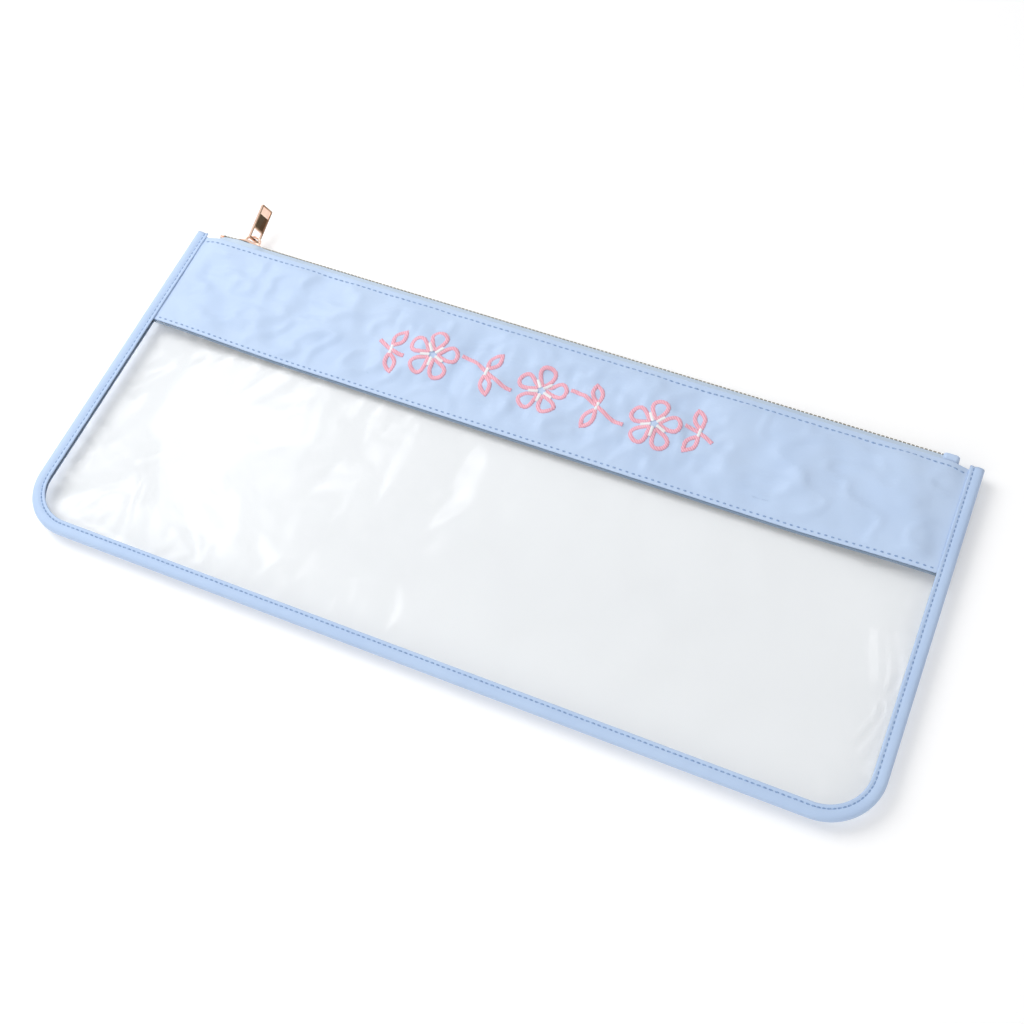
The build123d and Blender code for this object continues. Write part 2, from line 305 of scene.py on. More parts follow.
# twisted sewing thread, with slanted plies
def threadMaterial(name, light, dark, ply=0.5, roughness=0.5):
    material, tree, shader = newMaterial(name, Roughness=roughness, Sheen_Weight=0.3)
    plies = banded(tree, objectPlace(tree), "DIAGONAL", 0.157 / (ply * mm), Distortion=1.0)
    setNode(tree, shader, Base_Color=mixColours(tree, plies, dark, light))
    addRelief(tree, shader, plies, 0.3, 0.1 * mm)
    return material


# clear soft vinyl: see-through, with a faint milky haze and a glossy face
# gloss is the share of light it mirrors when seen straight on
def filmMaterial(name, tint, haze, gloss):
    milky = (0.88, 0.91, 0.96, 1)
    material, tree, shader = newMaterial(name, Base_Color=milky, Roughness=0.4)
    place = objectPlace(tree)
    clear = addNode(tree, "ShaderNodeBsdfTransparent", Color=(*tint, 1))
    mirror = addNode(tree, "ShaderNodeBsdfGlossy", Color=(1, 1, 1, 1), Roughness=0.13)
    addRelief(tree, mirror, cloudy(tree, place, 60.0, 3.0), 0.25, 0.3 * mm)
    # the same on both sides of the film's wall, or its inner face would mirror itself dark
    facing = addNode(tree, "ShaderNodeLayerWeight", Blend=0.5).outputs["Facing"]
    share = ramped(tree, mathNode(tree, "POWER", facing, 5.0), 0, 1, gloss, 1.0)
    shine = mixShaders(tree, share, clear.outputs["BSDF"], mirror.outputs["BSDF"])
    milk = ramped(tree, cloudy(tree, place, 14.0, 4.0), 0.3, 0.7, haze * 0.5, haze * 1.5)
    setSurface(tree, mixShaders(tree, milk, shine, shader.outputs["BSDF"]))
    return material


# plated metal with fine hairlines and slightly rubbed patches
def metalMaterial(name, colour, worn, roughness):
    material, tree, shader = newMaterial(name, Metallic=1.0)
    place = objectPlace(tree)
    patches = cloudy(tree, place, 260.0, 6.0)
    tone = mixColours(tree, ramped(tree, patches, 0.35, 0.75), colour, worn)
    paintPatches(tree, shader, tone, patches, roughness * 0.6, roughness * 1.5)
    stretch = addNode(tree, "ShaderNodeMapping", Vector=place, Scale=(6000, 700, 6000))
    addRelief(tree, shader, cloudy(tree, stretch.outputs["Vector"], 1.0), 0.05, 0.02 * mm)
    return material


# gloss moulded teeth, a little darker in patches
def toothMaterial(name, light, dark):
    material, tree, shader = newMaterial(name)
    patches = cloudy(tree, objectPlace(tree), 900.0, 3.0)
    tone = mixColours(tree, ramped(tree, patches, 0.35, 0.65), light, dark)
    paintPatches(tree, shader, tone, patches, 0.25, 0.45)
    addRelief(tree, shader, patches, 0.15, 0.05 * mm)
    return material


# polished facet that leans by lean, as a slope, towards across; its tone is a darker copy of the
# rose gold, a painted reflection
def facetMaterial(name, tone, across, lean):
    material, tree, shader = newMaterial(name, Metallic=1.0)
    place = objectPlace(tree)
    slope = addNode(tree, "ShaderNodeVectorMath", operation="DOT_PRODUCT")
    slope.inputs[1].default_value = across
    tree.links.new(place, slope.inputs[0])
    addRelief(tree, shader, slope.outputs["Value"], 1.0, lean)
    patches = cloudy(tree, place, 300.0)
    darker = tuple(value * 0.85 for value in tone)
    paintPatches(tree, shader, mixColours(tree, patches, tone, darker), patches, 0.06, 0.12)
    return material


materials = {
    "band": clothMaterial("bandCloth", (0.555, 0.685, 0.89), (0.50, 0.635, 0.86), 0.34, 0.44, 0.1),
    # the lining's own blue, darkened further as painted shade where it shows under the front hem
    "lining": clothMaterial("liningClothPaintedShade", (0.27, 0.36, 0.48), (0.22, 0.31, 0.43), 0.5),
    "binding": clothMaterial(
        "bindingCloth", (0.53, 0.67, 0.89), (0.46, 0.60, 0.84), 0.34, roughness=0.5, angle=0.785
    ),
    "tape": clothMaterial("zipTape", (0.60, 0.71, 0.84), (0.51, 0.62, 0.76), 0.6, roughness=0.8),
    "thread": threadMaterial("blueThread", (0.29, 0.43, 0.67), (0.20, 0.31, 0.54)),
    "pink": threadMaterial("pinkSatin", (0.95, 0.53, 0.61), (0.76, 0.31, 0.42), 0.4, 0.34),
    "white": threadMaterial("whiteSatin", (0.92, 0.92, 0.93), (0.78, 0.80, 0.84), 0.25, 0.38),
    "film": filmMaterial("clearFilm", (0.993, 0.997, 1.0), 0.006, 0.02),
    # both rows are the same resin: the front row is painted darker as painted shade, the back row
    # lighter as painted light, so the interlocked rows read as dots
    "teeth": toothMaterial("toothResinPaintedShade", (0.38, 0.35, 0.28), (0.27, 0.25, 0.20)),
    "backTeethPaintedLight": toothMaterial("toothResinBackPaintedLight", (0.90, 0.87, 0.80), (0.78, 0.75, 0.68)),
    "rose": metalMaterial("roseGold", (0.88, 0.64, 0.52), (0.80, 0.55, 0.44), 0.1),
    # dark brown rose gold for the pull's rim: a painted dark reflection, standing in for the dark
    # surroundings its polished edge would mirror
    "paintedDarkRim": metalMaterial("paintedDarkRimReflection", (0.30, 0.20, 0.13), (0.20, 0.13, 0.08), 0.16),
}
print("materials", len(materials))


# Camera, in the place of the photograph's

view = {
    "azimuth": 31.08,
    "elevation": 61.19,
    "roll": -9.07,
    "target": (14.668, -4.440, 7.0),
    "distance": 666.1,
    "focalPixels": 1389.0,
    "imagePixels": 1024,
    "sensor": 36.0,
}


def makeCamera():
    az, el, roll = (math.radians(view[key]) for key in ("azimuth", "elevation", "roll"))
    back = Vector((math.sin(az) * math.cos(el), -math.cos(az) * math.cos(el), math.sin(el)))
    right = Vector((math.cos(az), math.sin(az), 0))
    up = back.cross(right)
    across = math.cos(roll) * right + math.sin(roll) * up
    upward = math.cos(roll) * up - math.sin(roll) * right
    place = (Vector(view["target"]) + view["distance"] * back) * mm
    data = bpy.data.cameras.new("camera")
    data.sensor_width = view["sensor"]
    data.lens = view["sensor"] * view["focalPixels"] / view["imagePixels"]
    data.clip_start = 0.01
    camera = addObject("camera", data)
    turn = Matrix((across, upward, back)).transposed().to_4x4()
    camera.matrix_world = Matrix.Translation(place) @ turn
    bpy.context.scene.camera = camera


makeCamera()


# Table, world and lamps, in metres

studio = {
    "floorColour": (0.93, 0.93, 0.935),
    # between these reaches the table fades into the white world, by its lift here and there
    "floorFade": (0.75, 2.6),
    "floorLift": (0.17, 0.95),
    "worldLevel": 0.54,
    # name, place, size, power
    "lamps": [
        ("keyLamp", (-0.78, 0.20, 0.90), 0.85, 8.1),
        ("fillLamp", (0.15, -1.1, 0.85), 1.6, 4.4),
    ],
    # panels that only gloss sees: place, reach, level
    "softboxes": [((-0.80, 0.44, 0.94), 0.34, 4.2), ((0.56, 0.43, 0.94), 0.30, 3.4)],
    "flagPlace": (0.62, 0.34, 0.26),
    "flagSize": (0.02, 0.42, 0.25),
    "flagColour": (0.16, 0.13, 0.10),
}


# 1 for rays that show a background: seen straight, in gloss or through film
def throughCamera(tree):
    rays = addNode(tree, "ShaderNodeLightPath").outputs
    seen = mathNode(tree, "MAXIMUM", rays["Is Camera Ray"], rays["Is Glossy Ray"])
    return mathNode(tree, "MAXIMUM", seen, rays["Is Transmission Ray"])


def aimed(place):
    return (-Vector(place)).to_track_quat("-Z", "Y").to_euler()


def onlyInGloss(piece):
    for kind in ("camera", "diffuse", "shadow", "transmission", "volume_scatter"):
        setattr(piece, "visible_" + kind, False)


def makeFloor():
    bm = bmesh.new()
    bmesh.ops.create_grid(bm, x_segments=4, y_segments=4, size=4.0)
    floor = meshObject("table", bm)
    material, tree, shader = newMaterial(
        "tableTop", Base_Color=(*studio["floorColour"], 1), Roughness=0.9,
        Specular_IOR_Level=0.0, Emission_Color=(1, 1, 1, 1),
    )
    level = ramped(tree, fromCentre(tree), *studio["floorFade"], *studio["floorLift"])
    lift = mathNode(tree, "MULTIPLY", throughCamera(tree), level)
    setNode(tree, shader, Emission_Strength=lift)
    setMaterial(floor, material)


def makeWorld():
    world = bpy.data.worlds.new("studio")
    bpy.context.scene.world = world
    world.use_nodes = True
    tree = world.node_tree
    level = ramped(tree, throughCamera(tree), 0, 1, studio["worldLevel"], 1.0)
    setNode(tree, tree.nodes["Background"], Color=(1, 1, 1, 1), Strength=level)


# pale panel that shows only as a soft sheen in film and metal
def makeSoftbox(location, reach, level):
    bm = bmesh.new()
    bmesh.ops.create_circle(bm, cap_ends=True, segments=48, radius=reach)
    panel = meshObject("softbox", bm)
    panel.location = location
    panel.rotation_euler = aimed(location)
    material, tree, shader = newMaterial("softboxLight")
    fade = ramped(tree, fromCentre(tree), reach, 0.0, 0.0, 1.0, "SMOOTHSTEP")
    light = addNode(tree, "ShaderNodeEmission", Strength=level)
    clear = addNode(tree, "ShaderNodeBsdfTransparent")
    setSurface(tree, mixShaders(tree, fade, clear.outputs["BSDF"], light.outputs["Emission"]))
    setMaterial(panel, material)
    onlyInGloss(panel)


# dark card at the right that gives the polished metal its dark reflections
def makeFlag():
    bm = bmesh.new()
    bmesh.ops.create_cube(bm, size=2.0)
    bmesh.ops.scale(bm, vec=studio["flagSize"], verts=bm.verts)
    card = meshObject("darkCard", bm)
    card.location = studio["flagPlace"]
    colour = (*studio["flagColour"], 1)
    setMaterial(card, newMaterial("blackCard", Base_Color=colour, Roughness=0.9)[0])
    onlyInGloss(card)


def makeLamp(name, place, size, power):
    data = bpy.data.lights.new(name, "AREA")
    data.shape = "DISK"
    data.size = size
    data.energy = power
    lamp = addObject(name, data)
    lamp.location = place
    lamp.rotation_euler = aimed(place)
    lamp.visible_glossy = False


makeFloor()
makeWorld()
for settings in studio["softboxes"]:
    makeSoftbox(*settings)
makeFlag()
for settings in studio["lamps"]:
    makeLamp(*settings)
bpy.context.scene.view_settings.view_transform = "Standard"
print("camera and studio")


# Sheets of film

film = {
    "inset": 4.0,  # the film's edge lies this far inside the bag's edge
    "top": 43.0,  # upper edge, held in the bands
    "columns": 216,
    "rows": 72,
    "thickness": 0.4,
    "apart": 0.65,  # between the seam's middle and each film
    "sag": 2.4,
    "sagReach": 60,  # from the binding to the full sag
    "hemReach": 40,
    "hemShare": 0.75,  # of the sag, held up by the hem
    "hemLoss": 0.6,  # of the hem's own sag, lost away from it
    "waves": [(0.55, 46, 3.1), (0.25, 17, 8.4)],  # height, size, seed
    "wavesFade": 18,
    "creaseFade": 6,
    # short creases by the side seams: from x, y to x, y, half width and height
    "creases": [
        (194, -2, 201, -26, 4.8, 2.2), (200, -38, 194, -57, 4.4, 2.0), (188, 14, 178, -4, 5.0, 1.0),
        (-170, -43, -160, -34, 3.0, 0.7), (-163, -53, -161, -62, 3.0, 0.6),
        (-196, -8, -182, 12, 4.0, 0.8),
    ],
    "backReach": 36,  # from the binding to where the back lies on the table
    "backLow": 0.3,
    "backMean": 0.35,
    "backWaves": (0.3, 38, 12.7),
    "leastHeight": 0.25,
}

# how the front's hem sinks between the two side seams, and the cloth above it
hem = {"sag": 3.1, "end": 204, "endFade": 74, "top": 64, "topFade": 29}

cloth = {
    "frames": 14,
    "mostMove": 2.5,
    "sewnSides": 3,
    "sewnHem": 4,
    "settings": {
        "quality": 6, "mass": 0.25, "tension_stiffness": 40, "compression_stiffness": 40,
        "shear_stiffness": 20, "bending_stiffness": 1.2, "vertex_group_mass": "sewn",
        "shrink_min": -0.004,  # a little spare width
    },
}


# moves a point of a square sheet into the same sheet with round bottom corners
def roundedCorner(x, y, wide, bottom, rounding):
    cornerX, cornerY = wide - rounding, bottom + rounding
    if abs(x) <= cornerX or y >= cornerY:
        return x, y
    u = (abs(x) - cornerX) / rounding
    v = (cornerY - y) / rounding
    newX = cornerX + rounding * u * math.sqrt(1 - v * v / 2)
    newY = cornerY - rounding * v * math.sqrt(1 - u * u / 2)
    return math.copysign(newX, x), newY


def hemSag(x, y):
    ends = smooth((hem["end"] - abs(x)) / hem["endFade"])
    return hem["sag"] * ends * smooth((hem["top"] - y) / hem["topFade"])


def creaseHeight(x, y):
    total = 0.0
    for x1, y1, x2, y2, reach, height in film["creases"]:
        dx, dy = x2 - x1, y2 - y1
        share = min(max(((x - x1) * dx + (y - y1) * dy) / (dx * dx + dy * dy), 0), 1)
        away = math.hypot(x - x1 - share * dx, y - y1 - share * dy)
        total += height * math.exp(-((away / reach) ** 2))
    return total


# middle of the front film before it is let go: it sags from its seams
def frontFilmHeight(x, y):
    inside = smooth(fromBinding(x, y) / film["sagReach"])
    fromHem = smooth((bag["hemY"] - y) / film["hemReach"])
    sag = film["sag"] * inside * (1 - film["hemShare"] + film["hemShare"] * fromHem)
    fromSeam = 1 - film["hemLoss"] * fromHem
    waves = sum(tall * ripple(x, y, size, seed) for tall, size, seed in film["waves"])
    waves *= smooth((bag["hemY"] + 1 - y) / film["wavesFade"])
    folds = creaseHeight(x, y) * smooth(fromBinding(x, y) / film["creaseFade"])
    rim = bag["seamHeight"] + film["apart"]
    return rim - sag - hemSag(x, y) * fromSeam + waves * inside + folds


def backFilmHeight(x, y):
    reach = smooth(fromBinding(x, y) / film["backReach"])
    rim = bag["seamHeight"] - film["apart"]
    tall, size, seed = film["backWaves"]
    waves = film["backMean"] + tall * ripple(x, y, size, seed)
    return rim + (film["backLow"] + max(waves, 0.0) - rim) * reach


# 1 where the film is sewn down, 0 where it is free
def sewnShare(x, y):
    aside = fromBinding(x, y) / cloth["sewnSides"]
    below = (bag["hemY"] + 1 - y) / cloth["sewnHem"]
    return 1 - smooth(min(aside, below))


# lets the sewn-down film find its own creases
def settle(piece):
    start = [vertex.co.copy() for vertex in piece.data.vertices]
    group = piece.vertex_groups.new(name="sewn")
    for vertex in piece.data.vertices:
        weight = sewnShare(vertex.co.x / mm, vertex.co.y / mm)
        if weight > 0:
            group.add([vertex.index], weight, "REPLACE")
    solver = piece.modifiers.new("cloth", "CLOTH")
    solver.collision_settings.use_collision = False
    for key, value in cloth["settings"].items():
        setattr(solver.settings, key, value)
    solver.settings.effector_weights.gravity = 0.0
    scene = bpy.context.scene
    scene.frame_start = 1
    for number in range(1, cloth["frames"] + 1):
        scene.frame_set(number)
    settled = evaluatedMesh(piece)
    piece.modifiers.clear()
    piece.data = settled
    scene.frame_set(1)
    most = cloth["mostMove"] * mm
    for vertex, place in zip(piece.data.vertices, start):
        move = vertex.co - place
        if move.length > most:
            vertex.co = place + move * (most / move.length)
    piece.vertex_groups.clear()


def makeFilm(name, heightAt, node):
    wide, bottom, rounding = half - film["inset"], low + film["inset"], radius - film["inset"]
    bm = bmesh.new()
    bmesh.ops.create_grid(bm, x_segments=film["columns"], y_segments=film["rows"], size=1.0)
    for vertex in bm.verts:
        x = vertex.co.x * wide
        y = bottom + (vertex.co.y + 1) / 2 * (film["top"] - bottom)
        x, y = roundedCorner(x, y, wide, bottom, rounding)
        vertex.co = Vector((x, y, heightAt(x, y))) * mm
    piece = meshObject(name, bm)
    settle(piece)
    for vertex in piece.data.vertices:
        vertex.co.z = max(vertex.co.z, film["leastHeight"] * mm)
    size = (2 * wide, film["top"] - bottom)
    area = (size[0] * size[1] - (2 - math.pi / 2) * rounding**2) * mm**2
    finishSheet(piece, node, "clear_film", materials["film"], film["thickness"], size, area=area)
    print(name, len(piece.data.vertices))


makeFilm("film_front", frontFilmHeight, "clear_front_panel")
makeFilm("film_back", backFilmHeight, "clear_back_panel")


# Cloth bands and their linings

band = {
    "cut": 211.5,  # half the band's length, its ends inside the binding
    "hemTurn": 12.0,
    "mouthTurn": 9.0,
    "thickness": 0.5,
    "fold": 0.31,  # radius of its folded edges
    "rows": 30,
    "topStitch": 2.8,  # below the fold
    "hemStitch": 1.6,  # above the hem's edge
    "hemThread": 0.75,  # short stitches, pulled tight
    "frontMiddle": 0.3,  # from the face to the middle of the cloth
    "frontFace": 1.5,  # above the seams
    "frontRise": 2.95,  # how far the mouth stands above the seams
    "riseFrom": 60,
    "riseEnd": 199,
    "riseFade": 12,
    "backMiddle": 0.46,
    "backEnds": 5.5,  # how far the back's ends stand up off the table
    "backMouth": 1.4,
    "backRiseFrom": 62,
    "backFlat": 172,
    "backFade": 38,
    "pull": 0.14,
    "pullReach": 1.1,
}

# wrinkles of the front band, each with its height, size and seed
wrinkles = {
    "fine": (0.9, 6.5, 31.0),
    "broad": (2.0, 19, 22.0),
    "sharp": (1.1, 14, 44.0),
    "sharpness": 3.2,
    "nearX": (100, 14),  # reach from the embroidery's middle, and fade
    "nearY": (22, 9),
    "puff": (1.5, 160, 32),  # beside the right binding: height, from x, over
    "dip": (1.3, 194, 9, 80, 6),  # under the tab: depth, x, reach, y, reach
    "calm": 8,
    "calmEnds": 14,
}


# top face of the front band
def frontBandHeight(x, y):
    seam = bag["seamHeight"] + band["frontFace"] - hemSag(x, y)
    rise = band["frontRise"] * (1 - smooth((abs(x) - band["riseEnd"]) / band["riseFade"]))
    start = band["riseFrom"]
    return seam + rise * smooth((y - start) / (bag["mouthY"] - start))


# under face of the back band, on the table but for its ends and its mouth
def backBandHeight(x, y):
    ends = smooth((abs(x) - band["backFlat"]) / band["backFade"])
    floor = band["backEnds"] * ends
    mouth = band["backMouth"] + (band["backEnds"] - band["backMouth"]) * ends
    start = band["backRiseFrom"]
    return floor + (mouth - floor) * smooth((y - start) / (bag["mouthY"] - start))


# section across a band: (y, depth below the face), hem turned in and mouth turned in
def bandProfile(hemY):
    fold, mouthY, rows = band["fold"], bag["mouthY"], band["rows"]
    points = [(hemY + band["hemTurn"], 2 * fold), (hemY + band["hemTurn"] / 2, 2 * fold)]
    turns = [math.pi * step / 6 for step in range(7)]
    for turn in turns:
        points.append((hemY + fold - fold * math.sin(turn), fold + fold * math.cos(turn)))
    for step in range(1, rows):
        points.append((hemY + fold + (mouthY - hemY - 2 * fold) * step / rows, 0.0))
    for turn in turns:
        points.append((mouthY - fold + fold * math.sin(turn), fold - fold * math.cos(turn)))
    points += [(mouthY - band["mouthTurn"] / 2, 2 * fold), (mouthY - band["mouthTurn"], 2 * fold)]
    return points


# 1 under the embroidery, falling to 0 around it
def embroideryNear(x, y):
    near = 1.0
    for place, middle, (reach, fade) in zip(
        (x, y), bag["embroidery"], (wrinkles["nearX"], wrinkles["nearY"])
    ):
        near *= smooth((reach - abs(place - middle)) / fade)
    return near


def bandRipples(x, y):
    tall, size, seed = wrinkles["fine"]
    fine = ripple(x, y * 0.45, size, seed) * tall * embroideryNear(x, y)
    tall, size, seed = wrinkles["broad"]
    broad = ripple(x * 0.75 + 0.35 * y, y * 0.7 - 0.3 * x, size, seed) * tall
    # sharp little creases that run askew over the cloth
    tall, size, seed = wrinkles["sharp"]
    folded = 1 - abs(ripple(x * 0.5 + 0.5 * y, y - 0.5 * x, size, seed, 1)) * wrinkles["sharpness"]
    broad += tall * max(folded, 0.0) ** 2
    tall, start, over = wrinkles["puff"]
    broad += tall * smooth((x - start) / over)
    deep, dipX, reachX, dipY, reachY = wrinkles["dip"]
    broad -= deep * math.exp(-(((x - dipX) / reachX) ** 2) - ((y - dipY) / reachY) ** 2)
    fade = wrinkles["calm"]
    calm = smooth((y - bag["hemY"]) / fade) * smooth((bag["mouthY"] - y) / fade)
    calm *= smooth((half - fade - abs(x)) / wrinkles["calmEnds"])
    return (fine + broad) * calm


# cloth drawn down at each needle hole along the stitch rows
def stitchPull(x, y, rows):
    beat = 0.5 + 0.5 * math.cos(2 * math.pi * x / bag["stitchPitch"])
    near = sum(math.exp(-(((y - row) / band["pullReach"]) ** 2)) for row in rows)
    return near * band["pull"] * (1 + beat)


def frontCloth(x, y, depth):
    return frontBandHeight(x, y) - band["frontMiddle"] - depth + bandRipples(x, y)


def backCloth(x, y, depth):
    waves = max(ripple(x, y, 40, 51.0), 0) * 0.3 * smooth((180 - abs(x)) / 20)
    return backBandHeight(x, y) + band["backMiddle"] + depth + waves


# side is 1 for the front and -1 for the back, as the needle pulls them together
def makeBand(name, node, hemY, clothHeight, side):
    piece = sweepAlong(name, bandProfile(hemY), band["cut"], bag["stitchPitch"] / 2)
    rows = [bag["mouthY"] - band["topStitch"], hemY + band["hemStitch"]]
    for vertex in piece.data.vertices:
        x, y, depth = (value / mm for value in vertex.co)
        vertex.co.z = (clothHeight(x, y, depth) - side * stitchPull(x, y, rows)) * mm
    size = (2 * band["cut"], bag["mouthY"] - hemY + band["hemTurn"] + band["mouthTurn"])
    finishSheet(piece, node, "band_cloth", materials["band"], band["thickness"], size)
    return piece


lining = {
    "thickness": 0.4,
    "frontLow": 33.9,
    "backLow": 39.0,
    "high": 91.6,
    "below": 1.75,  # from the front band's face to the middle of its lining
    "rows": 20,
}


def makeLining(name, node, bottom, heightAt):
    rows, tall = lining["rows"], lining["high"] - bottom
    profile = [(bottom + tall * step / rows, 0.0) for step in range(rows + 1)]
    piece = sweepAlong(name, profile, band["cut"], bag["stitchPitch"])
    for vertex in piece.data.vertices:
        vertex.co.z = heightAt(vertex.co.x / mm, vertex.co.y / mm) * mm
    size = (2 * band["cut"], tall)
    finishSheet(piece, node, "lining_cloth", materials["lining"], lining["thickness"], size)


def frontLiningHeight(x, y):
    return frontBandHeight(x, y) - lining["below"] + bandRipples(x, y) * 0.6


def backLiningHeight(x, y):
    return backBandHeight(x, y) + lining["below"]


frontBand = makeBand("band_front", "front_band", bag["hemY"], frontCloth, 1)
backBand = makeBand("band_back", "back_band", bag["backHemY"], backCloth, -1)
makeLining("lining_front", "front_band_lining", lining["frontLow"], frontLiningHeight)
makeLining("lining_back", "back_band_lining", lining["backLow"], backLiningHeight)
print("bands and linings", len(frontBand.data.vertices))


# Binding folded over the cut edges of both sides and the bottom

binding = {
    "thickness": 0.55,
    "flatWidth": 19.5,
    "stitch": 5.1,  # stitch line from the bag's edge
    "pitch": 2.7,
    "pull": 0.22,
    "pullReach": 0.9,
    # half section: (in from the bag's edge, up from the seam)
    "section": [
        (6.2, 1.55), (6.85, 1.6), (7.05, 1.85), (6.85, 2.2), (6.3, 2.34), (5.65, 2.26), (5.0, 2.0),
        (4.4, 2.2), (3.4, 2.38), (2.2, 2.33), (1.2, 2.08), (0.45, 1.5), (0.08, 0.75),
    ],
    "lipFrom": 5,  # from here the lower lip is cut shorter, so it hides behind the upper one
    "lipShare": 0.45,
    # height, size, seed, and how much finer across
    "waves": [(0.16, 11, 71.0, 2), (0.1, 4, 77.0, 1)],
    "loose": 6.6,  # further in, only what stands off the seam by more than lip is waved
    "lip": 1.7,
}


# distance along the bag's outline from its upper left corner
def alongEdge(x, y):
    if y >= low + radius:
        down = high - y
        return down if x < 0 else 2 * sideLength + 2 * arcLength + bottomLength - down
    if abs(x) <= half - radius:
        return sideLength + arcLength + x + half - radius
    turn = math.atan2(low + radius - y, abs(x) - half + radius)
    if x < 0:
        return sideLength + radius * turn
    return sideLength + arcLength + bottomLength + radius * (math.pi / 2 - turn)


# runs a section of (inset, z) points down the left side, along the bottom and up
def sweepRound(name, section, pitch):
    bm = bmesh.new()
    geom = [bm.verts.new(Vector((-half + inset, high, z)) * mm) for inset, z in section]
    geom += [bm.edges.new(pair) for pair in zip(geom, geom[1:])]
    for length, (x, y), heading in legs:
        steps = round(length / pitch)
        if isinstance(heading, float):
            move = {"cent": (x * mm, y * mm, 0), "angle": math.pi / 2}
        else:
            step = Vector((*heading, 0)) * (length / steps * mm)
            move = {"cent": (0, 0, 0), "angle": 0, "dvec": step}
        done = bmesh.ops.spin(bm, geom=geom, axis=(0, 0, 1), steps=steps, **move)
        geom = done["geom_last"]
    bmesh.ops.remove_doubles(bm, verts=bm.verts, dist=1e-7)
    bmesh.ops.recalc_face_normals(bm, faces=bm.faces)
    return meshObject(name, bm)


def lowerInset(inset):
    past = max(inset - binding["lipFrom"], 0)
    return inset - past * (1 - binding["lipShare"])


def makeBinding():
    upper, seam = binding["section"], bag["seamHeight"]
    lower = [(lowerInset(inset), -z) for inset, z in upper[::-1]]
    section = [(inset, seam + z) for inset, z in upper + [(0.0, 0.0)] + lower]
    piece = sweepRound("binding", section, binding["pitch"] / 2)
    for vertex in piece.data.vertices:
        x, y, z = (value / mm for value in vertex.co)
        inset = edgeDistance(x, y)
        along = alongEdge(x, y)
        beat = 0.5 + 0.5 * math.cos(2 * math.pi * along / binding["pitch"])
        near = math.exp(-(((inset - binding["stitch"]) / binding["pullReach"]) ** 2))
        wave = sum(
            tall * ripple(along, inset * finer, size, seed)
            for tall, size, seed, finer in binding["waves"]
        )
        lift = wave * min(inset / 3, 1) - near * binding["pull"] * beat
        if inset < binding["loose"] or abs(z - seam) > binding["lip"]:
            vertex.co.z += (1 if z > seam else -1) * lift * mm
    size = (alongEdge(half, high), binding["flatWidth"])
    finishSheet(
        piece, "edge_binding", "binding_cloth", materials["binding"], binding["thickness"], size,
        -1, held="folded", rests_on=["film_front"],
    )
    return piece


bindingPiece = makeBinding()
print("binding", len(bindingPiece.data.vertices))


# Zip tapes, from the teeth back into the bands

chain = {
    "y": 96.6,
    "z": 6.5,
    "tilt": math.radians(10),
    "left": -199.0,
    "slider": -184.0,
    "sliderLength": 11.5,
    "spread": 1.45,  # how far each row parts before the slider
    "nose": 1.6,
    "sliderHalf": 4.6,
    "plateOuter": 1.9,
}

tape = {
    "thickness": 0.4,
    "flatWidth": 13.5,
    "edge": 0.9,
    "free": 2.3,  # from the chain's middle to where the tape turns
    "turnDepth": 0.8,
    "play": 0.3,  # before and behind the slider
    "beside": 0.5,  # beside the slider
    "tuck": 8.0,
    "return": 4.0,
    "mouthGap": 1.2,
    "inMouth": 0.95,  # below the front band's face, and above the back's
    "underFront": 1.3,
    "overBack": 1.2,
    "half": 206.0,
    "endFrom": 198,
    "endFade": 11,
    "turnIn": 197.5,  # from here to its ends the tape turns in between the bands
}


# a point by its place along the chain, across it downwards, and out of its face
def chainPoint(x, across, out=0.0):
    tilt = chain["tilt"]
    y = chain["y"] + out * math.cos(tilt) + across * math.sin(tilt)
    z = chain["z"] + out * math.sin(tilt) - across * math.cos(tilt)
    return Vector((x, y, z)) * mm


# how far each row of teeth lies from the middle of the chain
def rowOffset(x):
    spread = chain["slider"] - chain["sliderLength"] / 2 + chain["nose"]
    if x >= spread:
        return chain["spread"] * smooth((chain["slider"] - x) / (chain["slider"] - spread))
    along = (spread - x) / (spread - chain["left"])
    return chain["spread"] * (1 - 0.45 * smooth(along))


def tapeLine(x, side):
    past = abs(x - chain["slider"]) - chain["sliderLength"] / 2 - tape["play"]
    near = 1 - smooth(past / tape["return"])
    ending = min(max((abs(x) - tape["endFrom"]) / tape["endFade"], 0), 1)
    free = rowOffset(x) * (1 - ending) + tape["free"]
    turn = free + near * (chain["sliderHalf"] + tape["beside"] - free)
    back = chain["plateOuter"] * near + tape["turnDepth"] * (1 - near)
    mouthY, innerY = bag["mouthY"], bag["mouthY"] - tape["tuck"]
    if side > 0:
        mouth = frontBandHeight(x, mouthY) - tape["inMouth"]
        inner = frontBandHeight(x, innerY) - tape["underFront"] + min(bandRipples(x, innerY), 0)
    else:
        mouth = backBandHeight(x, mouthY) + tape["inMouth"]
        inner = backBandHeight(x, innerY) + tape["overBack"]
    line = [
        chainPoint(x, -side * (rowOffset(x) + tape["edge"])),
        chainPoint(x, -side * turn),
        chainPoint(x, -side * turn, -back),
        Vector((x, mouthY - tape["mouthGap"], mouth)) * mm,
        Vector((x, innerY, inner)) * mm,
    ]
    turnedIn = smooth((abs(x) - tape["turnIn"]) / (tape["half"] - tape["turnIn"]))
    for step in range(3):
        hidden = line[3] + Vector((0, -1.0 * (2 - step), -side * (0.5 + 0.3 * step))) * mm
        line[step] = line[step].lerp(hidden, turnedIn)
    return line


